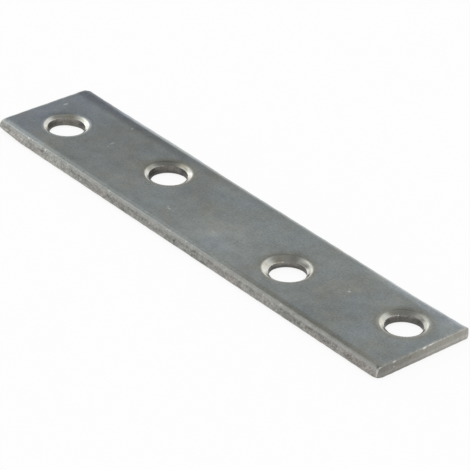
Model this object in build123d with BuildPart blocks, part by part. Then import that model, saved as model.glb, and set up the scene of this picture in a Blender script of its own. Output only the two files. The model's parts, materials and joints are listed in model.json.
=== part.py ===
from build123d import *
import os

# A four-hole mending plate: a short length of steel strip with rolled long edges,
# cropped square at both ends, with staggered screw holes countersunk from above.
# All sizes are in millimetres. X runs along the plate, Y across it and Z up, with
# the origin on the underside, at the middle of the plate.

# The strip
length = 76.2
width = 15.9  # over the widest line of the rounded sides
thickness = 1.8

# The rolled edge, in the strip's cross-section
roll_width = 0.85  # how far in from its ridge the upper face starts to fall
roll_drop = 0.27  # how far below the upper face the ridge lies
ridge_inset = 0.4  # from the widest line of the side in to the ridge
heel_inset = 0.5  # from the widest line of the side in to the lower edge
belly_height = 0.6  # how high the widest line runs above the underside

# The cropped ends: sheared clean above, broken back below
break_height = 0.42
break_depth = 0.12

# The screw holes
hole_diameter = 5.0
countersink_diameter = 6.6
countersink_angle = 100
exit_break = 0.3  # where the punch broke out of the underside

# Their places: a pair near each end, staggered across the plate
left_margin = 6.45  # from the -X end to the nearest hole's centre
right_margin = 5.45  # from the +X end to the nearest hole's centre
pair_pitch = 18.35  # along the plate, between the two holes of a pair
stagger = 3.1  # across the plate, between neighbours
row_shift = 0.35  # the rows' middle line, from the middle of the plate

left_hole = left_margin - length / 2
right_hole = length / 2 - right_margin
stations = (left_hole, left_hole + pair_pitch, right_hole - pair_pitch, right_hole)
near_row = row_shift - stagger / 2
far_row = row_shift + stagger / 2
hole_places = list(zip(stations, (near_row, far_row, near_row, far_row)))

# Points of the cross-section, on its +Y side
ridge = (width / 2 - ridge_inset, thickness - roll_drop)
widest = (width / 2, belly_height)
heel = (width / 2 - heel_inset, 0)
fall = (ridge[0] - roll_width, thickness)

with BuildPart() as mending_plate:
    # The strip, as its cross-section run out to length
    with BuildSketch(Plane.YZ.offset(-length / 2)):
        with BuildLine():
            Line((0, thickness), fall)
            TangentArc(fall, ridge, tangent=(1, 0))
            TangentArc(widest, ridge, tangent=(0, 1))
            TangentArc(widest, heel, tangent=(0, -1))
            Line(heel, (0, 0))
            mirror(about=Plane.YZ)
        make_face()
    extrude(amount=length)

    # The crop leaves the lower part of each end sloping back
    with BuildSketch(Plane.XZ):
        with BuildLine():
            Polyline(
                (length / 2, break_height),
                (length / 2 - break_depth, 0),
                (length / 2, 0),
                close=True,
            )
        make_face()
        mirror(about=Plane.YZ)
    extrude(amount=width, both=True, mode=Mode.SUBTRACT)

    # The screw holes, countersunk from the upper face
    with Locations(Plane.XY.offset(thickness)):
        with Locations(*hole_places):
            CounterSinkHole(
                radius=hole_diameter / 2,
                counter_sink_radius=countersink_diameter / 2,
                depth=thickness,
                counter_sink_angle=countersink_angle,
            )

    # and broken out slightly wider at the underside
    exit_edges = mending_plate.edges().filter_by(GeomType.CIRCLE).group_by(Axis.Z)[0]
    chamfer(exit_edges, length=exit_break)

mending_plate.part.label = "mending_plate"

os.makedirs("parts", exist_ok=True)
export_step(mending_plate.part, "parts/mending_plate.step")
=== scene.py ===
"""A four-hole mending plate: a short steel strip with rolled edges and countersunk screw holes.

The plate's frame runs X along its length, Y across it and Z up, with the origin on the underside
at the middle. Lengths are in metres, apart from the mesh's and the marks', which are in
millimetres.
"""

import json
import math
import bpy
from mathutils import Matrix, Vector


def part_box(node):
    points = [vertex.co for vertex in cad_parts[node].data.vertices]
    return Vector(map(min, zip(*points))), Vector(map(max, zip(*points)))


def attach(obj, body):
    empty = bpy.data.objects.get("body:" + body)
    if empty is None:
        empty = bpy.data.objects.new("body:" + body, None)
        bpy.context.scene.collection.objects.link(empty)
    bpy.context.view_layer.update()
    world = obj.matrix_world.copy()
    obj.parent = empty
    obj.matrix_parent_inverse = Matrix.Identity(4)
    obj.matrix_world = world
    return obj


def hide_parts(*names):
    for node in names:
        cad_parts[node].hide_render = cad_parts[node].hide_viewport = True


bl_info = {
    "name": "Mending Plate",
    "version": (1, 0, 0),
    "blender": (4, 5, 0),
    "location": "View3D > Sidebar > Mending Plate",
    "description": "Makes a worn steel mending plate with countersunk holes, and its stage",
    "category": "Add Mesh",
}

from collections import namedtuple
from types import SimpleNamespace

import bmesh
import bpy
from bpy.props import FloatProperty, FloatVectorProperty, PointerProperty
from bpy.types import Operator, Panel, PropertyGroup
from mathutils import Matrix, Vector, noise

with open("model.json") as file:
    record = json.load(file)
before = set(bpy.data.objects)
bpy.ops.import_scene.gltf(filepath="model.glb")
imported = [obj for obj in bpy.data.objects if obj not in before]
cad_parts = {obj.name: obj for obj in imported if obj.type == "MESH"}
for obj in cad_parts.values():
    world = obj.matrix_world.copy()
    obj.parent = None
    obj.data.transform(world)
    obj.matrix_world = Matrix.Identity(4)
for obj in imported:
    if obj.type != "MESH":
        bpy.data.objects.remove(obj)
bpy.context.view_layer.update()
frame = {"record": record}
_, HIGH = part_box("mending_plate")
MM = 0.001
HOLES = [m for m in frame["record"]["mounts"] if m["kind"] == "bore"]

# The mesh is made in millimetres and brought to metres at the end. These lengths are in
# millimetres.
CENTRES = [tuple(c / MM for c in hole["pos_m"][:2]) for hole in HOLES]
HALF_LENGTH, HALF_WIDTH, THICKNESS = (c / MM for c in HIGH)
CLOSE = 1e-4  # places nearer than this are one
FLAT_COLUMNS = 28
ROLL_COLUMNS = 8
SIDE_ROWS = 6
WALL_ROWS = 7
BREAK_ROWS = 3
ARRIS_ROWS = 3
SQUARE_REACH = 4.45  # the cells within this of a hole make way for its turned wall
FEWEST_CELLS = 40  # how many edges that opening has at least
ASIDE = 0.02  # how far a turned ring steps aside while it is joined to the opening
LAND = 4.2  # radius of the turned wall's outer ring on the broad faces
LAND_FADE = 0.4  # how far in from that ring the worn rim reaches its full depth
RINGS = (4.2, 4.05, 3.9, 3.75, 3.62, 3.5, 3.4, 3.3, 3.2, 3.1, 3.0, 2.9, 2.8, 2.7, 2.6)
RING_GAP = 0.04  # the least room between the last ring and the throat
LAND_SHARES = (0.33, 0.66, 1.0)  # the rows of the underside round a hole
ENDWAYS = 0.9  # how nearly along X the faces of a cropped end look
END_SHARE = 0.6  # how much of a worn arris takes the finish of the end
SHARP = math.radians(30)  # edges sharper than this aren't shaded smooth
FACE, SIDE, WALL, END = range(4)  # the plate's material slots

# Each hole's own wear: the radius of its countersink at the upper face, how far that rim is worn
# round, the radius of its throat, where the countersink ends, and how far both are off centre.
Wear = namedtuple("Wear", "rim softness throat throat_off rim_off")
WEAR = (
    Wear(3.17, 0.22, 2.62, (-0.13, 0.1), (-0.13, 0.1)),
    Wear(3.22, 0.24, 2.66, (-0.08, 0.0), (0.03, -0.05)),
    Wear(3.28, 0.26, 2.52, (0.06, -0.01), (-0.04, -0.1)),
    Wear(3.12, 0.24, 2.5, (-0.12, 0.15), (-0.12, 0.07)),
)
LEAN = (-0.03, 0.2)  # how far the punch carried the holes' lower edges

# How much each corner is rounded, by whether it lies towards +X and towards +Y.
CORNERS = {(True, False): 1.0, (False, False): 0.12, (True, True): 0.04, (False, True): 1.2}


# ---------------------------------------------------------------- sizes and colours


class PlateSizes(PropertyGroup):
    """The plate's own sizes. Its length, width and thickness come from the frame."""

    roll_width: FloatProperty(
        name="Roll width",
        description="How far in from its ridge the upper face starts to fall",
        default=0.94 * MM,
        unit="LENGTH",
    )
    roll_drop: FloatProperty(
        name="Roll drop",
        description="How far below the upper face the ridge lies",
        default=0.27 * MM,
        unit="LENGTH",
    )
    ridge_inset: FloatProperty(
        name="Ridge inset",
        description="From the widest line of the side in to the ridge",
        default=0.4 * MM,
        unit="LENGTH",
    )
    heel_inset: FloatProperty(
        name="Heel inset",
        description="From the widest line of the side in to the lower edge",
        default=0.5 * MM,
        unit="LENGTH",
    )
    belly_height: FloatProperty(
        name="Belly height",
        description="How high the widest line runs above the underside",
        default=0.6 * MM,
        unit="LENGTH",
    )
    break_height: FloatProperty(
        name="Break height",
        description="How high the broken lower part of a cropped end reaches",
        default=0.42 * MM,
        unit="LENGTH",
    )
    break_depth: FloatProperty(
        name="Break depth",
        description="How far the lower edge of a cropped end lies in from its face",
        default=0.03 * MM,
        unit="LENGTH",
    )
    countersink_slope: FloatProperty(
        name="Countersink slope",
        description="Half of the countersink's included angle",
        default=math.radians(50),
        subtype="ANGLE",
    )
    exit_break: FloatProperty(
        name="Exit break",
        description="How far the hole's lower edge is broken out",
        default=0.3 * MM,
        unit="LENGTH",
    )
    arris: FloatProperty(
        name="Arris",
        description="How far the sharp edges of the cropped ends are worn",
        default=0.06 * MM,
        unit="LENGTH",
    )
    upper_corner: FloatProperty(
        name="Upper corner",
        description="How far the plate's corners are rounded at the upper face",
        default=0.55 * MM,
        unit="LENGTH",
    )
    lower_corner: FloatProperty(
        name="Lower corner",
        description="How far the plate's corners are rounded at the underside",
        default=0.9 * MM,
        unit="LENGTH",
    )
    heel_lift: FloatProperty(
        name="Heel lift",
        description="How far the shears dragged one end's underside up",
        default=0.47 * MM,
        unit="LENGTH",
    )
    heel_reach: FloatProperty(
        name="Heel reach",
        description="How far in from that end its underside rises",
        default=4.8 * MM,
        unit="LENGTH",
    )
    roughness_depth: FloatProperty(
        name="Roughness depth",
        description="How deep the hollows of the sides and ends are",
        default=0.05 * MM,
        unit="LENGTH",
    )
    cell: FloatProperty(
        name="Cell",
        description="Size of the mesh's cells along the plate",
        default=0.25 * MM,
        unit="LENGTH",
    )


class PlateColours(PropertyGroup):
    """The colours of the steel on the plate's different surfaces."""

    face: FloatVectorProperty(
        name="Face",
        description="Satin steel of the broad faces",
        subtype="COLOR",
        size=3,
        default=(0.278, 0.303, 0.297),
    )
    # Along the far edge towards +X this tint also stands in for a bluish glow of light.
    cool: FloatVectorProperty(
        name="Cool tint",
        description="The bluer steel at one end and along the far edge",
        subtype="COLOR",
        size=3,
        default=(0.262, 0.294, 0.335),
    )
    olive: FloatVectorProperty(
        name="Olive tint",
        description="Yellowed steel round the holes and along the near roll",
        subtype="COLOR",
        size=3,
        default=(0.3, 0.3, 0.262),
    )
    # Also the colour of the painted highlights on the ridges and arrises.
    bare: FloatVectorProperty(
        name="Bare steel",
        description="Rubbed steel on the ridges and arrises",
        subtype="COLOR",
        size=3,
        default=(0.5, 0.51, 0.485),
    )
    # Also the colour of the painted glints on the near ridge.
    bright: FloatVectorProperty(
        name="Bright steel",
        description="Fresh chips on the ridges",
        subtype="COLOR",
        size=3,
        default=(0.85, 0.86, 0.84),
    )
    countersink: FloatVectorProperty(
        name="Countersink",
        description="Freshly cut steel of the countersinks",
        subtype="COLOR",
        size=3,
        default=(0.86, 0.86, 0.8),
    )
    stain: FloatVectorProperty(
        name="Stain",
        description="Brown stain on the cut steel",
        subtype="COLOR",
        size=3,
        default=(0.72, 0.68, 0.54),
    )
    side: FloatVectorProperty(
        name="Side",
        description="Rolled steel of the long sides",
        subtype="COLOR",
        size=3,
        default=(0.29, 0.288, 0.27),
    )
    rust: FloatVectorProperty(
        name="Rust tint",
        description="The warmer steel of the sides",
        subtype="COLOR",
        size=3,
        default=(0.29, 0.265, 0.245),
    )
    # Also the colour of the painted shade low on the cropped ends.
    soot: FloatVectorProperty(
        name="Soot",
        description="Dirt in the hollows of the sheared and rolled steel",
        subtype="COLOR",
        size=3,
        default=(0.12, 0.115, 0.11),
    )
    end: FloatVectorProperty(
        name="End",
        description="Burnished steel of the cropped ends",
        subtype="COLOR",
        size=3,
        default=(0.242, 0.236, 0.21),
    )
    torn: FloatVectorProperty(
        name="Torn steel",
        description="Broken steel of the lower half of the cropped ends",
        subtype="COLOR",
        size=3,
        default=(0.31, 0.298, 0.275),
    )
    wall: FloatVectorProperty(
        name="Hole wall",
        description="Torn dark steel of the punched walls",
        subtype="COLOR",
        size=3,
        default=(0.2, 0.19, 0.175),
    )


# ---------------------------------------------------------------- shader maths


class Signal:
    """One value in a shader. Python's operators on it add Math nodes."""

    def __init__(self, sheet, socket):
        self.sheet = sheet
        self.socket = socket

    def maths(self, operation, *values):
        """A Math node."""
        return self.sheet.node("ShaderNodeMath", {"operation": operation}, dict(enumerate(values)))

    def __add__(self, other):
        return self.maths("ADD", self, other)

    def __sub__(self, other):
        return self.maths("SUBTRACT", self, other)

    def __rsub__(self, other):
        return self.maths("SUBTRACT", other, self)

    def __mul__(self, other):
        return self.maths("MULTIPLY", self, other)

    __radd__ = __add__
    __rmul__ = __mul__

    def low(self, other):
        return self.maths("MINIMUM", self, other)

    def high(self, other):
        return self.maths("MAXIMUM", self, other)

    def size(self):
        return self.maths("ABSOLUTE", self)

    def ramp(self, start, end, low=0.0, high=1.0):
        """Eases from low to high as the value goes from start to end."""
        return self.sheet.node(
            "ShaderNodeMapRange",
            {"interpolation_type": "SMOOTHSTEP"},
            {"Value": self, "From Min": start, "From Max": end, "To Min": low, "To Max": high},
        )


class Sheet:
    """A node tree and the one method that adds its nodes."""

    def __init__(self, tree):
        self.tree = tree
        tree.nodes.clear()

    def node(self, kind, settings=None, inputs=None, output=0):
        """Adds a node: its settings, then its sockets' values or links. Returns an output."""
        made = self.tree.nodes.new(kind)
        for name, value in (settings or {}).items():
            setattr(made, name, value)
        for name, value in (inputs or {}).items():
            if isinstance(value, Signal):
                self.tree.links.new(value.socket, made.inputs[name])
            else:
                made.inputs[name].default_value = value
        if not made.outputs:
            return made
        return Signal(self, made.outputs[output])

    def places(self):
        """The object's own coordinates in millimetres."""
        metres = self.node("ShaderNodeTexCoord", output="Object")
        return self.vector("MULTIPLY", metres, (1 / MM, 1 / MM, 1 / MM))

    def vector(self, operation, *values, output="Vector"):
        """Vector maths, which serves for colours too."""
        settings = {"operation": operation}
        return self.node("ShaderNodeVectorMath", settings, dict(enumerate(values)), output)

    def pack(self, x, y):
        """Two numbers made into one vector."""
        return self.node("ShaderNodeCombineXYZ", None, {0: x, 1: y})

    def parts(self, vector):
        """The three numbers of a vector."""
        split = self.node("ShaderNodeSeparateXYZ", None, {"Vector": vector})
        return [Signal(self, out) for out in split.socket.node.outputs]

    def away(self, vector, x, y, long=1.0, wide=1.0):
        """How far a place lies from an upright line through x and y, counted in long and wide."""
        gap = self.vector("SUBTRACT", vector, (x, y, 0.0))
        gap = self.vector("MULTIPLY", gap, (1 / long, 1 / wide, 0.0))
        return self.vector("LENGTH", gap, output="Value")

    def mottle(self, vector, size, detail=3.0, roughness=0.55, seed=0.0, stretch=(1, 1, 1)):
        """Cloudy variation about a half, whose patches are about size millimetres across."""
        return self.node(
            "ShaderNodeTexNoise",
            {"noise_dimensions": "4D"},
            {
                "Vector": self.vector("MULTIPLY", vector, stretch),
                "W": seed,
                "Scale": 1 / size,
                "Detail": detail,
                "Roughness": roughness,
            },
        )

    def rings(self, reach, height):
        """Fine turned rings round a hole, about a half."""
        return self.mottle(self.pack(reach, height), TURNING, detail=2.0, seed=9.0)

    def blend(self, factor, a, b):
        """Colour b laid over colour a by factor."""
        colours = [c if isinstance(c, Signal) else (*c[:3], 1.0) for c in (a, b)]
        return self.node(
            "ShaderNodeMix",
            {"data_type": "RGBA", "blend_type": "MIX", "clamp_factor": True},
            {0: factor, 6: colours[0], 7: colours[1]},
            output=2,
        )

    def shade(self, colour, tone):
        """A colour made lighter or darker by tone."""
        return self.vector("MULTIPLY", colour, tone)


# ---------------------------------------------------------------- materials


# Places on the plate and sizes of its finish, in millimetres.
NEAR_RIDGE = -7.5  # where the ridge of the near side runs across the plate
RIDGE_HEIGHT = 1.48
SPECK_HEIGHT = 1.5
CORNER_BELLY = 0.72  # height at which the foremost corner stands out furthest
CORNER_CUT = 0.45  # how far in from the square corner its painted highlight line lies
TURNING = 0.09  # pitch of the turned rings


def steel(name):
    """A new material, its node sheet, the place on the plate in millimetres and its three parts."""
    material = bpy.data.materials.new(name)
    material.use_nodes = True
    sheet = Sheet(material.node_tree)
    here = sheet.places()
    return material, sheet, here, *sheet.parts(here)


def finish_steel(sheet, colour, roughness, height, bump_distance):
    """Joins a colour, a roughness and a height, counted in bump distances, to a metal surface."""
    distance = bump_distance * MM
    normal = sheet.node(
        "ShaderNodeBump", None, {"Height": height, "Distance": distance, "Strength": 1.0}
    )
    surface = sheet.node(
        "ShaderNodeBsdfPrincipled",
        None,
        {"Base Color": colour, "Roughness": roughness, "Metallic": 1.0, "Normal": normal},
    )
    sheet.node("ShaderNodeOutputMaterial", None, {"Surface": surface})


def hole_reach(sheet, here):
    """How far a place is from the axis of the nearest hole."""
    nearest, *reaches = [sheet.away(here, *centre) for centre in CENTRES]
    for reach in reaches:
        nearest = nearest.low(reach)
    return nearest


def ridge_wear_and_highlight(sheet, here, y, z):
    """Rubbed bare metal along the near ridge, with a painted highlight along it: 1 on it, 0 away
    from it.
    """
    gap = (y - NEAR_RIDGE).size().high((z - RIDGE_HEIGHT).size() * 0.8)
    patches = sheet.mottle(here, 0.8, seed=21.0, stretch=(0.5, 1, 1)).ramp(0.28, 0.55, 0.55, 1.0)
    return gap.ramp(0.08, 0.3, 1.0, 0.0) * patches


def ridge_glints_and_chips(sheet, here, x, y, z):
    """Painted glints and chips: small bright specks on the near ridge, most of them at one end."""
    gap = (y - NEAR_RIDGE).size().high((z - SPECK_HEIGHT).size())
    chips = sheet.mottle(here, 0.38, detail=1.0, seed=31.0).ramp(0.61, 0.7)
    return gap.ramp(0.1, 0.22, 1.0, 0.0) * chips * x.ramp(-28.0, -16.0, 1.0, 0.35)


def arris_painted_highlight(sheet, here, x, y, z):
    """Painted highlight: a bright line where the cropped ends meet the upper face, and up the
    foremost corner.
    """
    along = x.size() - HALF_LENGTH
    top = along.size().high((z - THICKNESS).size() * 1.6).ramp(0.12, 0.36, 1.0, 0.0)
    patches = sheet.mottle(here, 0.7, seed=41.0).ramp(0.4, 0.62, 0.35, 1.0)
    patches = patches * y.ramp(-4.0, 2.0, 0.6, 1.2)
    bulge = z - CORNER_BELLY
    corner = along + y.size() - HALF_WIDTH + bulge * bulge * 0.5 + CORNER_CUT
    corner = corner.ramp(-0.07, -0.02) * z.ramp(0.15, 0.4)
    return (top * patches).high(corner * x.ramp(30.0, 34.0) * y.ramp(0.0, -4.0))


# Marks on the plate: x, y, half-length, half-width and how much lighter.
CHIPS = (
    (-25.5, 5.5, 0.28, 0.26, 0.65),
    (-36.35, 2.35, 0.3, 0.6, 0.75),
    (-23.9, 0.7, 0.26, 0.65, 0.45),
    (-23.6, -0.3, 0.2, 0.35, 0.4),
    (-6.0, -4.1, 0.5, 0.24, 0.7),
    (-6.5, -3.8, 0.3, 0.24, 0.45),
    (23.2, 1.3, 0.32, 0.3, 0.9),
    (22.8, 1.7, 0.2, 0.3, 0.35),
    (-19.5, 3.4, 0.2, 0.15, 0.25),
    (5.5, 4.6, 0.2, 0.16, 0.15),
    (20.5, -5.3, 0.24, 0.2, 0.4),
    (2.0, -3.3, 0.3, 0.24, 0.3),
    (36.2, 6.6, 0.5, 0.2, 0.4),
)
# Stains, and painted shade: the darker marks just beyond the holes' far rims stand in for shade.
STAINS_AND_SHADE = (
    (4.0, -3.0, 9.0, 6.0, 0.12),
    (2.1, -4.2, 2.6, 1.6, 0.1),
    (22.0, -4.0, 8.0, 6.0, -0.08),
    (-22.0, 3.5, 8.0, 5.0, -0.07),
    (-6.0, 3.0, 5.0, 5.0, -0.04),
    (36.5, 6.5, 5.0, 4.0, 0.22),
    (-33.0, 4.8, 4.0, 2.6, 0.05),
    (-14.6, 4.6, 2.2, 2.0, -0.12),
    (-16.2, 2.6, 1.8, 1.6, -0.1),
    (31.4, 4.2, 2.4, 2.0, -0.12),
    (13.2, 2.2, 2.0, 1.4, -0.08),
    (-8.4, 2.6, 3.0, 5.0, -0.12),
    (-1.0, 2.0, 8.0, 6.0, -0.06),
    (-16.5, -4.2, 5.0, 3.4, 0.08),
    (-37.5, 0.5, 3.6, 8.0, 0.07),
    (26.0, -1.5, 5.5, 5.5, -0.07),
    (27.0, 6.0, 3.6, 2.4, 0.07),
    (-26.5, 3.4, 4.5, 2.6, -0.05),
    (3.2, -3.6, 2.0, 1.4, 0.07),
    (-20.0, 6.0, 4.0, 1.6, 0.06),
    (18.0, -3.4, 2.0, 2.0, -0.05),
    (-34.0, 1.3, 2.6, 2.2, 0.05),
)
# Painted shade: most of these darken the countersinks' far sides; a few lighter marks sit
# elsewhere.
CONE_PAINTED_SHADE_AND_MARKS = (
    (-15.6, 3.6, 3.4, 3.0, -0.4),
    (-12.3, 4.9, 2.0, 0.8, -0.45),
    (14.7, 1.4, 1.4, 0.5, -0.4),
    (15.7, 1.7, 1.9, 1.3, -0.32),
    (33.6, 4.4, 1.8, 1.1, -0.35),
    (32.4, 4.6, 1.2, 0.8, -0.2),
    (30.6, 0.0, 1.2, 1.2, 0.15),
    (12.6, -3.2, 1.6, 1.2, 0.15),
    (-34.2, 1.1, 2.6, 2.3, -0.06),
    (31.0, 4.1, 2.6, 2.2, -0.14),
    (33.4, 4.8, 1.2, 0.8, -0.15),
    (13.2, 1.4, 1.9, 1.1, -0.25),
    (17.3, 0.7, 0.9, 1.4, -0.3),
    (-10.4, 3.6, 0.8, 1.2, -0.25),
    (-16.2, 0.9, 0.9, 1.2, -0.4),
)
# On the cropped ends: y, z, half-width, half-height and how much lighter.
END_CHIPS = (
    (-4.9, 1.66, 0.45, 0.3, 0.5),
    (-4.85, 0.9, 0.25, 0.2, 0.35),
    (0.2, 1.7, 0.5, 0.34, 0.9),
    (1.3, 1.74, 0.6, 0.28, 0.7),
    (3.6, 1.72, 0.3, 0.15, 0.4),
    (-2.2, 1.2, 0.5, 0.2, -0.3),
    (5.9, 1.15, 0.9, 0.3, -0.2),
    (7.35, 0.9, 0.14, 1.2, -0.3),
    (6.95, 0.9, 0.12, 1.0, -0.15),
)
WALL_PAINTED_SHADE = ((0.55, 2.35), (-2.3, -1.05))  # painted shade: dark places on each hole's wall, from its axis
PAINTED_SHADE_REACH = (1.7, 0.5)  # where the painted shade starts and where it is full, from such a place


def marks(sheet, here, listed):
    """Adds up listed marks, each fading from its middle."""
    total = None
    for x, y, long, wide, lift in listed:
        mark = sheet.away(here, x, y, long, wide).ramp(0.15, 1.0, lift, 0.0)
        total = mark if total is None else total + mark
    return total


def face_tone(sheet, here, x, y, patch, grain):
    """How light the satin steel of the broad faces is, from place to place."""
    cloud = sheet.mottle(here, 6.0, detail=2.0, seed=1.0)
    tone = cloud * 0.3 + patch * 0.6 + grain * 0.85 + 0.125
    tone = tone * (x.ramp(-26.0, 3.0, 0.79, 1.0) + x.ramp(26.0, 38.0, 0.0, 0.04))
    tone = tone * (marks(sheet, here, STAINS_AND_SHADE) + 1.0)

    # Painted shade and painted highlight: the two rolls are darker at some places along the plate
    # and lighter at others, and the band inside the far one is darker towards the left end.
    near_roll = y.ramp(-6.3, -7.0) * y.ramp(-7.5, -7.15)
    dark = x.ramp(-38.0, -8.0, -0.24, 0.06) + x.ramp(5.0, 20.0, 0.0, 0.23)
    tone = tone * (1 - near_roll * (dark - x.ramp(30.0, 37.0, 0.0, 0.24)))
    far_band = y.ramp(5.1, 6.2) * y.ramp(7.05, 6.75)
    tone = tone * (1 - far_band * x.ramp(-38.0, 18.0, 0.34, 0.0))
    far_roll = y.ramp(6.7, 7.1)
    far_roll_painted_light = x.ramp(-8.0, -20.0, 0.0, -0.55) + x.ramp(-24.0, -36.0, 0.0, 0.85)
    tone = tone * (1 - far_roll * (far_roll_painted_light + x.ramp(33.0, 37.5) * -0.3))

    # Painted highlight: the far roll is lighter at two places, and the near ridge at one end.
    painted_highlight = y.ramp(5.9, 6.6) * x.ramp(19.0, 24.0) * 0.3
    painted_highlight = painted_highlight + y.ramp(6.85, 7.2) * x.ramp(-33.0, -29.0) * 0.32
    tone = tone * (1 + painted_highlight * x.ramp(35.0, 32.0))
    tone = tone * (1 + y.ramp(-7.1, -7.4) * x.ramp(-20.0, -34.0) * 0.3)
    return tone + marks(sheet, here, CHIPS) + grain.ramp(0.66, 0.74, 0.0, 0.12)


def face_colour(sheet, colours, tint, reach, x, y):
    """The satin steel's own colour, with its bluer parts and its yellower ones."""
    cool = x.ramp(-26.0, -37.0) * 0.8 + y.ramp(5.6, 6.6) * x.ramp(-12.0, -36.0) * 0.8
    # The bluer band along the far edge towards +X is a painted bluish glow.
    cool = cool + y.ramp(5.5, 7.0) * x.ramp(18.0, 34.0) * 0.4 + tint.ramp(0.5, 0.66) * 0.3
    cool = cool * y.ramp(-7.0, -6.3, 0.25, 1.0)
    olive = tint.ramp(0.5, 0.34) * 0.5 + reach.ramp(4.4, 3.5) * x.ramp(-28.0, -16.0) * 0.7
    olive = olive + y.ramp(-6.5, -7.0) * x.ramp(5.0, 22.0) * 0.8
    colour = sheet.blend(cool, colours.face, colours.cool)
    return sheet.blend(olive, colour, colours.olive)


def broad_steel(colours):
    """Satin steel with clouds, stains, painted shade, worn ridges and painted highlights, and the
    bright cut of the countersinks.
    """
    material, sheet, here, x, y, z = steel("satin_steel")
    reach = hole_reach(sheet, here)
    depth = THICKNESS - z
    tint = sheet.mottle(here, 4.5, detail=3.0, seed=5.0)
    patch = sheet.mottle(here, 1.7, detail=4.0, seed=2.0)
    grain = sheet.mottle(here, 0.3, detail=3.0, seed=3.0)
    rings = sheet.rings(reach, z)

    tone = face_tone(sheet, here, x, y, patch, grain)
    # Painted shade: a patchy darker ring just outside the holes' rims, where the face dips.
    tone = tone * (1 - reach.ramp(4.3, 3.5) * tint.ramp(0.3, 0.6) * 0.1)
    tone = tone * (1 + rings.ramp(0.35, 0.65, -0.03, 0.03) * reach.ramp(4.8, 4.3))

    # Painted highlight: the rims of the two end holes are brighter.
    painted_highlight = depth.ramp(0.0, 0.05) * reach.ramp(3.65, 3.4)
    painted_highlight = painted_highlight * (x.ramp(-24.0, -28.0) + x.ramp(23.0, 27.0) * 0.8)
    tone = tone * (1 + painted_highlight * 0.3)

    colour = sheet.shade(face_colour(sheet, colours, tint, reach, x, y), tone)
    # Rubbed wear and painted highlight on the near ridge, and painted highlight on the arrises.
    rubbed_and_highlight = ridge_wear_and_highlight(sheet, here, y, z) * 0.75
    rubbed_and_highlight = rubbed_and_highlight.high(arris_painted_highlight(sheet, here, x, y, z))
    colour = sheet.blend(rubbed_and_highlight, colour, colours.bare)
    colour = sheet.blend(ridge_glints_and_chips(sheet, here, x, y, z), colour, colours.bright)

    cone = depth.ramp(0.07, 0.17) * reach.ramp(3.95, 3.8) * z.ramp(0.6, 0.9)
    soot = sheet.mottle(here, 0.9, detail=4.0, seed=7.0)
    shine = rings * 0.35 + soot * 0.5 + x.ramp(-22.0, 36.0, 0.62, 0.5)
    # The countersinks' painted shade and marks.
    shine = shine + marks(sheet, here, CONE_PAINTED_SHADE_AND_MARKS)
    cut = sheet.blend(soot.ramp(0.48, 0.68), colours.countersink, colours.stain)
    colour = sheet.blend(cone, colour, sheet.shade(cut, shine))

    rough = patch * 0.12 + 0.24 - cone * 0.06 - rubbed_and_highlight * 0.04
    height = grain * (1 - cone) + cone * rings * 1.5 + patch * 0.5
    finish_steel(sheet, colour, rough, height, bump_distance=0.004)
    return material


def side_steel(colours):
    """The rougher rolled steel of the long sides: layered, pitted and speckled."""
    material, sheet, here, x, y, z = steel("rolled_steel_side")
    layers = sheet.mottle(here, 0.3, detail=4.0, roughness=0.6, seed=14.0, stretch=(0.12, 1, 1))
    patch = sheet.mottle(here, 0.75, detail=5.0, roughness=0.7, seed=11.0, stretch=(0.55, 1, 1))
    blotch = sheet.mottle(here, 2.6, detail=3.0, seed=12.0, stretch=(0.6, 1, 1))
    grain = sheet.mottle(here, 0.3, detail=4.0, roughness=0.65, seed=13.0)
    tone = layers * 0.65 + patch * 1.6 + blotch * 0.3 + grain * 2.25 - 1.4
    # Painted shade darkens the side towards the floor; the side is also lighter towards the ridge
    # and towards the left end.
    tone = tone * x.ramp(-30.0, -8.0, 1.22, 1.0) * z.ramp(1.1, 1.5, 1.0, 1.35)
    tone = tone * z.ramp(0.05, 0.4, 0.8, 1.0)
    colour = sheet.blend(blotch.ramp(0.45, 0.65) * 0.5, colours.side, colours.rust)
    colour = sheet.blend(x.ramp(18.0, 36.0) * 0.5, colour, colours.rust)
    colour = sheet.shade(colour, tone)
    colour = sheet.blend(patch.ramp(0.42, 0.3) * 0.6, colour, colours.soot)
    colour = sheet.blend(grain.ramp(0.62, 0.7) * 0.55, colour, colours.bare)
    # Rubbed wear and painted highlight on the near ridge, and painted highlight on the arrises.
    rubbed_and_highlight = ridge_wear_and_highlight(sheet, here, y, z).high(arris_painted_highlight(sheet, here, x, y, z))
    colour = sheet.blend(rubbed_and_highlight * 0.8, colour, colours.bare)
    colour = sheet.blend(ridge_glints_and_chips(sheet, here, x, y, z), colour, colours.bright)
    rough = patch * 0.25 + 0.28
    height = patch * 2.0 + grain + layers
    finish_steel(sheet, colour, rough, height, bump_distance=0.012)
    return material


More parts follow.
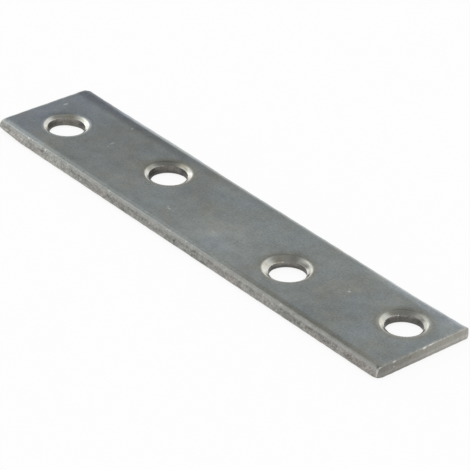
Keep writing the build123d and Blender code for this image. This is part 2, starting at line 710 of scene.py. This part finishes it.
def end_steel(colours):
    """A sheared end: a dark burnished band over a paler broken one, with upright tear marks."""
    material, sheet, here, x, y, z = steel("sheared_steel_end")
    tears = sheet.mottle(here, 0.35, detail=4.0, seed=15.0, stretch=(1, 1, 0.3))
    patch = sheet.mottle(here, 1.3, detail=4.0, roughness=0.6, seed=16.0)
    grain = sheet.mottle(here, 0.14, detail=2.0, seed=17.0)
    torn = (z + patch * 0.5).ramp(1.15, 0.85)
    tone = tears * 0.4 + patch * 0.5 + grain * 0.3 + 0.4
    tone = tone * y.ramp(-6.0, 5.0, 0.86, 1.33) * y.ramp(5.5, 7.2, 1.0, 1.12)
    chips = marks(sheet, sheet.pack(y, z), END_CHIPS)
    colour = sheet.blend(torn, colours.end, colours.torn)
    colour = sheet.shade(colour, tone + chips)
    greened = sheet.away(here, HALF_LENGTH, 6.1, long=3.0, wide=0.9).ramp(1.0, 0.3)
    colour = sheet.blend(greened * z.ramp(0.8, 1.2), colour, colours.olive)
    # Painted shade: a dark band low on the end, above its lowest edge.
    colour = sheet.blend(z.ramp(0.4, 0.3) * z.ramp(0.12, 0.2) * 0.3, colour, colours.soot)
    colour = sheet.blend(tears.ramp(0.38, 0.3) * 0.5, colour, colours.soot)
    colour = sheet.blend(grain.ramp(0.66, 0.72) * 0.5, colour, colours.bare)
    colour = sheet.blend(arris_painted_highlight(sheet, here, x, y, z), colour, colours.bare)
    colour = sheet.blend(chips.high(0.0) * 0.7, colour, colours.bright)
    rough = patch * 0.2 + torn * 0.08 + 0.26
    height = tears * 2.0 + grain * 0.5
    finish_steel(sheet, colour, rough, height, bump_distance=0.01)
    return material


def wall_steel(colours):
    """The punched walls: torn steel with paler bits, with painted shade on two sides of each hole.
    """
    material, sheet, here, x, y, z = steel("torn_steel_wall")
    tears = sheet.mottle(here, 0.35, detail=4.0, roughness=0.6, seed=18.0, stretch=(1, 1, 0.5))
    grain = sheet.mottle(here, 0.14, detail=2.0, seed=19.0)
    tone = tears * 1.6 + grain * 0.8 - 0.2
    tone = tone.high(0.15) * z.ramp(0.3, 1.1, 0.5, 1.25)
    # Painted shade: two dark places on each hole's wall.
    for x_hole, y_hole in CENTRES:
        for along, across in WALL_PAINTED_SHADE:
            reach = sheet.away(here, x_hole + along, y_hole + across)
            tone = tone * (1 - reach.ramp(*PAINTED_SHADE_REACH) * z.ramp(0.3, 0.9) * 0.5)
    # Painted reflection: the wall of the hole at the left end is lighter.
    colour = sheet.shade(colours.wall, tone * x.ramp(-26.0, -18.0, 1.4, 1.0))
    rough = tears * 0.3 + 0.3
    height = tears * 2.0 + grain
    finish_steel(sheet, colour, rough, height, bump_distance=0.02)
    return material


# ---------------------------------------------------------------- the plate's mesh


def spin(bm, geometry, steps, turn=0.0, centre=(0, 0, 0), axis=(1, 0, 0), along=None, close=False):
    """Sweeps geometry round an axis, or along a step. Returns where it ends."""
    made = bmesh.ops.spin(
        bm,
        geom=geometry,
        cent=centre,
        axis=axis,
        dvec=along or (0, 0, 0),
        angle=turn,
        steps=steps,
        use_merge=close,
        use_normal_flip=False,
        use_duplicate=False,
    )
    return [e for e in made["geom_last"] if isinstance(e, bmesh.types.BMVert)]


def run_line(bm, vertex, to, steps):
    """Draws a straight line on from a vertex and returns its last vertex."""
    return spin(bm, [vertex], steps, along=(Vector(to) - vertex.co) / steps)[0]


def run_arc(bm, vertex, to, steps, leaving=None, arriving=None):
    """Draws an arc on from a vertex, by how it leaves or arrives, and returns its last vertex."""
    chord = Vector(to) - vertex.co
    if leaving is None:
        way = chord.normalized()
        leaving = 2 * way.dot(Vector(arriving)) * way - Vector(arriving)
    leaving = Vector(leaving)
    turn = 2 * math.atan2(leaving.cross(chord).x, leaving.dot(chord))
    radius = chord.length / (2 * math.sin(turn / 2))
    centre = vertex.co + Vector((1, 0, 0)).cross(leaving) * radius
    return spin(bm, [vertex], steps, turn=turn, centre=centre)[0]


def draw_section(bm, sizes, x):
    """Draws the strip's closed cross-section at x."""
    ridge = (x, sizes.half_width - sizes.ridge_inset, sizes.thickness - sizes.roll_drop)
    widest = (x, sizes.half_width, sizes.belly_height)
    heel = (x, sizes.half_width - sizes.heel_inset, 0)
    flat = ridge[1] - sizes.roll_width
    end = bm.verts.new((x, 0, sizes.thickness))
    end = run_line(bm, end, (x, flat, sizes.thickness), FLAT_COLUMNS)
    end = run_arc(bm, end, ridge, ROLL_COLUMNS, leaving=(0, 1, 0))
    end = run_arc(bm, end, widest, SIDE_ROWS, arriving=(0, 0, -1))
    end = run_arc(bm, end, heel, SIDE_ROWS, leaving=(0, 0, -1))
    end = run_line(bm, end, (x, flat, 0), ROLL_COLUMNS)
    run_line(bm, end, (x, 0, 0), FLAT_COLUMNS)
    bmesh.ops.mirror(bm, geom=bm.verts[:] + bm.edges[:], axis="Y", merge_dist=CLOSE)
    bmesh.ops.remove_doubles(bm, verts=bm.verts[:], dist=CLOSE)


def sweep_strip(bm, sizes):
    """Runs the cross-section out along the plate and divides the skin into cells."""
    draw_section(bm, sizes, -sizes.half_length)
    spin(bm, bm.verts[:] + bm.edges[:], 1, along=(2 * sizes.half_length, 0, 0))
    long_edges = [e for e in bm.edges if abs(e.verts[0].co.x - e.verts[1].co.x) > CLOSE]
    cells = round(2 * sizes.half_length / sizes.cell)
    bmesh.ops.subdivide_edges(bm, edges=long_edges, cuts=cells - 1, use_grid_fill=True)


def cap_end(bm, sizes, x):
    """Fills one end of the strip with a grid of faces."""
    rails = []
    for edge in bm.edges:
        if all(abs(v.co.x - x) < CLOSE for v in edge.verts):
            heights = [v.co.z for v in edge.verts]
            if min(heights) > sizes.thickness - sizes.roll_drop - CLOSE or max(heights) < CLOSE:
                rails.append(edge)
    bmesh.ops.grid_fill(bm, edges=rails, mat_nr=0, use_smooth=False)


def open_squares(bm, sizes, x, y):
    """Deletes the cells of both broad faces round a hole and returns the two loops left."""
    doomed = []
    for face in bm.faces:
        middle = face.calc_center_median()
        flat = middle.z > sizes.thickness - CLOSE or middle.z < CLOSE
        if flat and max(abs(middle.x - x), abs(middle.y - y)) < SQUARE_REACH:
            doomed.append(face)
    bmesh.ops.delete(bm, geom=doomed, context="FACES")
    return rim_loops(bm, sizes, x, y, SQUARE_REACH + 1)


def rim_loops(bm, sizes, x, y, reach):
    """The open edges near a hole: those of the upper face, then those of the underside."""
    loop = [
        edge
        for edge in bm.edges
        if edge.is_boundary
        and all(max(abs(v.co.x - x), abs(v.co.y - y)) < reach for v in edge.verts)
    ]
    middle = sizes.thickness / 2
    upper = [edge for edge in loop if edge.verts[0].co.z > middle]
    lower = [edge for edge in loop if edge.verts[0].co.z < middle]
    return upper, lower


def between(start, end, shares):
    """Points at the given shares of the way from start to end."""
    return [tuple(a + (b - a) * share for a, b in zip(start, end)) for share in shares]


def equal_shares(rows):
    """The shares of the way at which equal rows end."""
    return [row / rows for row in range(1, rows + 1)]


def hole_profile(sizes, clear, worn):
    """The (radius, height) points of a hole's wall, from the upper face to the underside."""
    lean = math.tan(sizes.countersink_slope)
    points = []
    for radius in (*(ring for ring in RINGS if ring > worn.throat + RING_GAP), worn.throat):
        cut = (worn.rim - radius) / lean
        depth = (cut + math.hypot(cut, worn.softness)) / 2  # eases from the face into the cone
        fade = min(1.0, (LAND - radius) / LAND_FADE)
        points.append((radius, sizes.thickness - depth * fade))
    foot = (clear, sizes.exit_break)
    out = (clear + sizes.exit_break, 0.0)
    points += between(points[-1], foot, equal_shares(WALL_ROWS))
    points += between(foot, out, equal_shares(BREAK_ROWS))
    return points + between(out, (LAND, 0.0), LAND_SHARES)


def lathe(x, y, profile, steps):
    """A hole's wall, turned about its axis, as a mesh of its own."""
    bm = bmesh.new()
    line = [bm.verts.new((x + r, y, z)) for r, z in profile]
    wires = [bm.edges.new(pair) for pair in zip(line, line[1:])]
    spin(bm, line + wires, steps, 2 * math.pi, (x, y, 0), (0, 0, 1), close=True)
    mesh = bpy.data.meshes.new("hole")
    bm.to_mesh(mesh)
    bm.free()
    return mesh


def join_level_loops(bm, square, ring, aside):
    """Bridges two loops at one height. The ring steps aside, or the bridge would turn over."""
    corners = list({v for edge in ring for v in edge.verts})
    bmesh.ops.translate(bm, verts=corners, vec=(0, 0, aside))
    bmesh.ops.bridge_loops(bm, edges=square + ring)
    bmesh.ops.translate(bm, verts=corners, vec=(0, 0, -aside))


def bore(bm, sizes, hole, centre, worn):
    """Cuts one countersunk hole through the strip."""
    upper, lower = open_squares(bm, sizes, *centre)
    if len(upper) != len(lower) or len(upper) < FEWEST_CELLS:
        counts = f"{len(upper)} and {len(lower)}"
        raise RuntimeError(f"the cells round {hole['name']} don't match: {counts}")
    wall = lathe(*centre, hole_profile(sizes, hole["dims"]["r_mm"], worn), len(upper))
    bm.from_mesh(wall)
    bpy.data.meshes.remove(wall)
    ring_top, ring_low = rim_loops(bm, sizes, *centre, LAND + CLOSE)
    join_level_loops(bm, upper, ring_top, -ASIDE)
    join_level_loops(bm, lower, ring_low, ASIDE)


def wear_arrises(bm, sizes):
    """Rounds the edges where the cropped ends meet the strip's skin."""
    worn = []
    for edge in bm.edges:
        ends = [f for f in edge.link_faces if abs(f.normal.x) > ENDWAYS]
        if len(ends) == 1 and min(v.co.z for v in edge.verts) > sizes.heel_inset:
            worn.append(edge)
    bmesh.ops.bevel(
        bm,
        geom=worn,
        offset=sizes.arris,
        offset_type="OFFSET",
        segments=ARRIS_ROWS,
        profile=0.5,
        affect="EDGES",
        material=-1,
        clamp_overlap=True,
    )


def side_inset(sizes, z):
    """How far in from its widest line the strip's side lies at height z."""
    if z < sizes.belly_height:
        return sizes.heel_inset * (1 - math.sqrt(1 - (1 - max(0.0, z) / sizes.belly_height) ** 2))
    climb = (z - sizes.belly_height) / (sizes.thickness - sizes.roll_drop - sizes.belly_height)
    return sizes.ridge_inset * min(1.0, climb) ** 2


def round_corner(sizes, x, y, z):
    """Brings a place near one of the plate's upright corners in to a rounded corner."""
    share = z / sizes.thickness
    radius = sizes.lower_corner + (sizes.upper_corner - sizes.lower_corner) * share
    radius *= CORNERS[x > 0, y > 0]
    width = sizes.half_width - side_inset(sizes, z)
    along = abs(x) - (sizes.half_length - radius)
    across = abs(y) - (width - radius)
    if along <= 0 or across <= 0:
        return x, y
    scale = max(along, across) / math.hypot(along, across)
    x = math.copysign(sizes.half_length - radius + along * scale, x)
    return x, math.copysign(width - radius + across * scale, y)


# Where along the plate the far roll stands further out, and higher: from, to and how much.
ROLL_OUT = (
    (HALF_LENGTH - 12.0, HALF_LENGTH - 4.0, 0.4),
    (-5.0, -18.0, 0.58),
    (HALF_LENGTH - 2.6, HALF_LENGTH, 0.66),
)
ROLL_OUT_LEAST = 0.12
ROLL_UP = ((HALF_LENGTH - 5.0, HALF_LENGTH, 0.3), (HALF_LENGTH - 2.6, HALF_LENGTH, 0.36))

# Heights between which a hole's wall goes over from following the punch to following the throat,
# and from the throat to the rim.
PUNCHED = (0.0, 1.1)
THROATED = (0.5, 1.1)
RIMMED = (1.2, 1.75)
CARRIED = 0.9  # how far in from the land's outer ring a place moves fully

# From where to where the wear comes in, out past the ends' faces and the sides' ridges.
END_BREAK = (-0.6, 0.0)
END_ROUGH = (-0.4, -0.1)
SIDE_ROUGH = (-0.15, 0.05)
HEEL_CURVE = 1.05  # how the lift of the heel grows towards its end


def rise(value, start, end):
    """Goes smoothly from 0 to 1 as the value goes from start to end, and stays there."""
    share = min(1.0, max(0.0, (value - start) / (end - start)))
    return share * share * (3 - 2 * share)


def square_up(sizes, x, y, z):
    """Carries the far roll outwards along two stretches, and squares it at one corner."""
    out = max(ROLL_OUT_LEAST, *(rise(x, start, end) * most for start, end, most in ROLL_OUT))
    up = max(rise(x, start, end) * most for start, end, most in ROLL_UP)
    ridge = sizes.half_width - sizes.ridge_inset
    ridge_height = sizes.thickness - sizes.roll_drop
    if y > ridge - sizes.roll_width - CLOSE and z > sizes.belly_height:
        if y < ridge + CLOSE:
            y += out * sizes.ridge_inset
            z += up * (sizes.thickness - z)
        else:
            y += out * (sizes.half_width - y)
            z += up * sizes.roll_drop * rise(z, sizes.belly_height, ridge_height)
    elif y > sizes.half_width - sizes.heel_inset - CLOSE:
        y += min(1.0, up * 2.0) * (sizes.half_width - y)
    return y, z


def hollow(x, y, z, size, seed):
    """How hollow the rough steel is at a place: 0 on its high spots, 1 in its deepest."""
    bumps = noise.noise(Vector((x, y, z)) / size + Vector((seed, 0, 0)))
    return min(1.0, max(0.0, 0.45 + 0.9 * bumps))


def off_centre(x, y, z):
    """Moves a place on a hole's wall with its countersink above and with the punch below."""
    for centre, worn in zip(CENTRES, WEAR):
        reach = math.hypot(x - centre[0], y - centre[1])
        if reach < LAND:
            share = rise(reach, LAND, LAND - CARRIED)
            upper = rise(z, *THROATED)
            lower = 1 - rise(z, *PUNCHED)
            mouth = rise(z, *RIMMED)
            return tuple(
                place + share * (upper * (deep + mouth * (high - deep)) + lower * leant)
                for place, deep, high, leant in zip((x, y), worn.throat_off, worn.rim_off, LEAN)
            )
    return x, y


def wear(bm, sizes):
    """Breaks, rounds and roughens the ends, corners and sides, within the plate's own box."""
    ridge = sizes.half_width - sizes.ridge_inset
    for vertex in bm.verts:
        x, y, z = vertex.co
        x, y = off_centre(x, y, z)
        y, z = square_up(sizes, x, y, z)
        broken = sizes.break_depth * (1 - min(1.0, z / sizes.break_height))
        x -= math.copysign(broken * rise(abs(x) - sizes.half_length, *END_BREAK), x)
        rough = sizes.roughness_depth * hollow(x, y, z, 0.7, 3.0)
        x -= math.copysign(rough * rise(abs(x) - sizes.half_length, *END_ROUGH), x)
        rough = sizes.roughness_depth * hollow(x * 0.6, y, z, 0.6, 9.0)
        y -= math.copysign(rough * rise(abs(y) - ridge, *SIDE_ROUGH), y)
        x, y = round_corner(sizes, x, y, z)
        risen = max(0.0, (sizes.heel_reach - sizes.half_length - x) / sizes.heel_reach)
        z += sizes.heel_lift * risen**HEEL_CURVE * (1 - z / sizes.thickness)
        vertex.co = (x, y, z)


def in_millimetres(group):
    """The plate's sizes with its lengths in millimetres."""
    sizes = SimpleNamespace(half_length=HALF_LENGTH, half_width=HALF_WIDTH, thickness=THICKNESS)
    for name, rule in group.bl_rna.properties.items():
        if rule.type == "FLOAT":
            value = getattr(group, name)
            setattr(sizes, name, value / MM if rule.unit == "LENGTH" else value)
    return sizes


def finish_of(face, sizes):
    """Which of the plate's materials a face takes."""
    middle = face.calc_center_median()
    for hole, centre, worn in zip(HOLES, CENTRES, WEAR):
        away = (middle.xy - Vector(centre)).length
        if away < worn.throat and middle.z > CLOSE:
            return WALL
        if away < hole["dims"]["r_mm"] + sizes.exit_break and middle.z < sizes.exit_break:
            return WALL
    if abs(middle.x) > sizes.half_length - sizes.arris * END_SHARE:
        return END
    if abs(middle.y) > sizes.half_width - sizes.ridge_inset:
        return SIDE
    return FACE


def make_plate_mesh(sizes):
    """The plate's mesh in millimetres, before its wear."""
    bm = bmesh.new()
    sweep_strip(bm, sizes)
    for x in (-sizes.half_length, sizes.half_length):
        cap_end(bm, sizes, x)
    for hole, centre, worn in zip(HOLES, CENTRES, WEAR):
        bore(bm, sizes, hole, centre, worn)
    bmesh.ops.remove_doubles(bm, verts=bm.verts[:], dist=CLOSE)
    bmesh.ops.recalc_face_normals(bm, faces=bm.faces[:])
    wear_arrises(bm, sizes)
    bmesh.ops.recalc_face_normals(bm, faces=bm.faces[:])
    return bm


class PLATE_OT_strip(Operator):
    """Makes the steel plate in place of its solid"""

    bl_idname = "plate.strip"
    bl_label = "Mending plate"

    def execute(self, context):
        sizes = in_millimetres(context.scene.plate_sizes)
        colours = context.scene.plate_colours
        bm = make_plate_mesh(sizes)
        for face in bm.faces:
            face.smooth = True
            face.material_index = finish_of(face, sizes)
        wear(bm, sizes)
        bmesh.ops.scale(bm, vec=(MM, MM, MM), verts=bm.verts[:])
        mesh = bpy.data.meshes.new("plate")
        bm.to_mesh(mesh)
        bm.free()
        mesh.set_sharp_from_angle(angle=SHARP)
        for finish in (broad_steel, side_steel, wall_steel, end_steel):
            mesh.materials.append(finish(colours))
        plate = bpy.data.objects.new("plate", mesh)
        context.scene.collection.objects.link(plate)
        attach(plate, "root")
        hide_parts("mending_plate")
        return {"FINISHED"}


# ---------------------------------------------------------------- the stage


# Places and lengths in metres.
DIM_SIDE = (0.295, -0.06, 0.953)  # the way to the middle of the dim patch of the dome
DIM_REACH = (0.62, 0.85)  # cosines of the angles from it at which the dimness starts and is full
DIMNESS = 0.58
FLOOR_GLOW = 0.9  # how much of the floor is plain white where it is seen
FLOOR_DROP = 0.02 * MM  # so that the floor doesn't share the underside's level
LAMP_AIM = (0, 0, 0)
LAMP_SIZE = 0.6
LEFT_LAMP = (-0.8, 0.1, 0.5)
OVER_LAMP = (0.0, 0.0, 0.8)


class StageSettings(PropertyGroup):
    """The floor, the lamps and the camera."""

    floor_size: FloatProperty(
        name="Floor size", description="Side of the square floor", default=6.0, unit="LENGTH"
    )
    left_power: FloatProperty(
        name="Left lamp", description="Power of the lamp at the left", default=0.75, unit="POWER"
    )
    over_power: FloatProperty(
        name="Upper lamp", description="Power of the lamp overhead", default=3.2, unit="POWER"
    )
    lens: FloatProperty(
        name="Lens", description="Focal length of the camera in millimetres", default=222.1
    )
    camera_place: FloatVectorProperty(
        name="Camera place",
        description="Where the camera stands",
        subtype="XYZ",
        unit="LENGTH",
        default=(0.24175, -0.2193, 0.19693),
    )
    camera_aim: FloatVectorProperty(
        name="Camera aim",
        description="The point that the camera looks at",
        subtype="XYZ",
        unit="LENGTH",
        default=(0.00205, 0.00057, 0.0),
    )
    camera_roll: FloatProperty(
        name="Camera roll",
        description="How far the camera is tilted to one side",
        subtype="ANGLE",
        default=math.radians(3.4),
    )


def light_paths(sheet):
    """Whether a ray comes straight from the camera, off a shiny surface or through a clear one."""
    outs = sheet.node("ShaderNodeLightPath").socket.node.outputs
    kinds = ("Is Camera Ray", "Is Glossy Ray", "Is Transmission Ray")
    return [Signal(sheet, outs[kind]) for kind in kinds]


def light_dome(world):
    """A dome of soft light: a white band low down, dimmer above, dimmest in one patch."""
    world.use_nodes = True
    sheet = Sheet(world.node_tree)
    way = sheet.node("ShaderNodeTexCoord", output="Generated")
    height = sheet.parts(way)[2]
    dim = sheet.vector("DOT_PRODUCT", way, DIM_SIDE, output="Value").ramp(*DIM_REACH)
    level = height.ramp(0.1, 0.3, 1.0, 0.72) - height.ramp(0.6, 0.85, 0.0, 0.2)
    level = level * (1 - dim * DIMNESS)
    grey = sheet.node("ShaderNodeCombineColor", None, {0: level, 1: level, 2: level})
    direct, glossy, through = light_paths(sheet)
    backdrop = glossy * height.ramp(0.1, 0.2, 1.0, 0.0)
    colour = sheet.blend(direct.high(through).high(backdrop), grey, (1, 1, 1))
    shine = sheet.node("ShaderNodeBackground", None, {"Color": colour, "Strength": 1.0})
    sheet.node("ShaderNodeOutputWorld", None, {"Surface": shine})


def floor_finish():
    """A matt pale floor that looks white wherever it is seen, but keeps the plate's shadow."""
    material = bpy.data.materials.new("pale_floor")
    material.use_nodes = True
    sheet = Sheet(material.node_tree)
    direct, glossy, through = light_paths(sheet)
    matt = sheet.node("ShaderNodeBsdfDiffuse", None, {"Color": (0.9, 0.9, 0.9, 1)})
    glow = sheet.node("ShaderNodeEmission", None, {"Color": (1, 1, 1, 1), "Strength": 1.0})
    seen = direct.high(glossy).high(through) * FLOOR_GLOW
    surface = sheet.node("ShaderNodeMixShader", None, {0: seen, 1: matt, 2: glow})
    sheet.node("ShaderNodeOutputMaterial", None, {"Surface": surface})
    return material


def soft_lamp(name, place, power):
    """A broad square lamp, turned to the plate."""
    data = bpy.data.lights.new(name, "AREA")
    data.shape = "SQUARE"
    data.size = LAMP_SIZE
    data.energy = power
    lamp = bpy.data.objects.new(name, data)
    lamp.location = place
    lamp.rotation_euler = (Vector(LAMP_AIM) - Vector(place)).to_track_quat("-Z", "Y").to_euler()
    bpy.context.scene.collection.objects.link(lamp)
    return lamp


class PLATE_OT_stage(Operator):
    """Makes the floor, the lamps, the dome of light and the camera"""

    bl_idname = "plate.stage"
    bl_label = "Stage"

    def execute(self, context):
        scene = context.scene
        stage = scene.plate_stage
        bm = bmesh.new()
        bmesh.ops.create_grid(bm, x_segments=1, y_segments=1, size=stage.floor_size / 2)
        mesh = bpy.data.meshes.new("floor")
        bm.to_mesh(mesh)
        bm.free()
        mesh.materials.append(floor_finish())
        floor = bpy.data.objects.new("floor", mesh)
        floor.location.z = -FLOOR_DROP
        scene.collection.objects.link(floor)
        scene.world = bpy.data.worlds.new("dome")
        light_dome(scene.world)
        soft_lamp("lamp_left", LEFT_LAMP, stage.left_power)
        fill = soft_lamp("lamp_over", OVER_LAMP, stage.over_power)
        fill.visible_glossy = False
        camera_data = bpy.data.cameras.new("camera")
        camera_data.lens = stage.lens
        camera_data.sensor_width = 36
        camera_data.clip_start = 0.01
        camera_data.clip_end = 20
        camera = bpy.data.objects.new("camera", camera_data)
        scene.collection.objects.link(camera)
        camera.location = stage.camera_place
        look = (Vector(stage.camera_aim) - Vector(stage.camera_place)).to_track_quat("-Z", "Y")
        roll = Matrix.Rotation(stage.camera_roll, 3, "Z")
        camera.rotation_euler = (look.to_matrix() @ roll).to_euler()
        scene.camera = camera
        scene.view_settings.view_transform = "Standard"
        return {"FINISHED"}


class PLATE_PT_panel(Panel):
    """Lists the plate's pieces and its stage"""

    bl_label = "Mending Plate"
    bl_idname = "PLATE_PT_panel"
    bl_space_type = "VIEW_3D"
    bl_region_type = "UI"
    bl_category = "Mending Plate"

    def draw(self, context):
        scene = context.scene
        for group in (scene.plate_sizes, scene.plate_colours, scene.plate_stage):
            column = self.layout.column(align=True)
            for name in group.bl_rna.properties.keys():
                if name not in ("rna_type", "name"):
                    column.prop(group, name)
        self.layout.operator(PLATE_OT_strip.bl_idname)
        self.layout.operator(PLATE_OT_stage.bl_idname)


CLASSES = (PlateSizes, PlateColours, StageSettings, PLATE_OT_strip, PLATE_OT_stage, PLATE_PT_panel)


def register():
    for cls in CLASSES:
        bpy.utils.register_class(cls)
    bpy.types.Scene.plate_sizes = PointerProperty(type=PlateSizes)
    bpy.types.Scene.plate_colours = PointerProperty(type=PlateColours)
    bpy.types.Scene.plate_stage = PointerProperty(type=StageSettings)


def unregister():
    del bpy.types.Scene.plate_stage
    del bpy.types.Scene.plate_colours
    del bpy.types.Scene.plate_sizes
    for cls in reversed(CLASSES):
        bpy.utils.unregister_class(cls)


def main():
    register()
    bpy.ops.plate.strip()
    bpy.ops.plate.stage()


if __name__ == "__main__":
    main()
